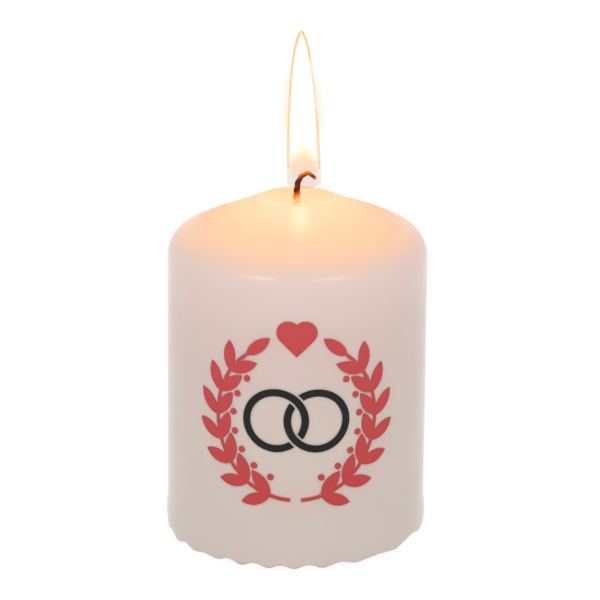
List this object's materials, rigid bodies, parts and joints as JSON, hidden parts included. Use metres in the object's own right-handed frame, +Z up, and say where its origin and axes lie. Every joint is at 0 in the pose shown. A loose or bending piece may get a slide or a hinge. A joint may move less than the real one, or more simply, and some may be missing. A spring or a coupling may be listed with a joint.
{
  "type": "pillar candle",
  "caption": "Burning wedding pillar candle with a conical head melted to a crater, a curled wick and flame, a scalloped foot, and a wreath, heart and linked rings on its wall.",
  "frame": {"origin": "middle of the base, on the surface that the candle stands on", "axes": "+Z up along the pillar's axis, +X to the right and -Y towards the viewer, where the decoration is"},
  "size_m": [0.058, 0.0582, 0.1158],
  "materials": {
    "core_wax": "satin",
    "coat_wax": "satin",
    "liquid_wax": "polished",
    "charred_cotton": "matte",
    "tinplate": "satin",
    "flame": "gloss",
    "coral_film": "satin",
    "charcoal_film": "satin"
  },
  "bodies": {
    "root": {"wax_core": "core_wax", "dip_coat": "coat_wax", "melt_pool": "liquid_wax", "wick": "charred_cotton", "wick_sustainer": "tinplate", "flame_mantle": "flame", "wreath_left": "coral_film", "wreath_right": "coral_film", "berries": "coral_film", "heart": "coral_film", "ring_left": "charcoal_film", "ring_right": "charcoal_film"}
  },
  "joints": []
}
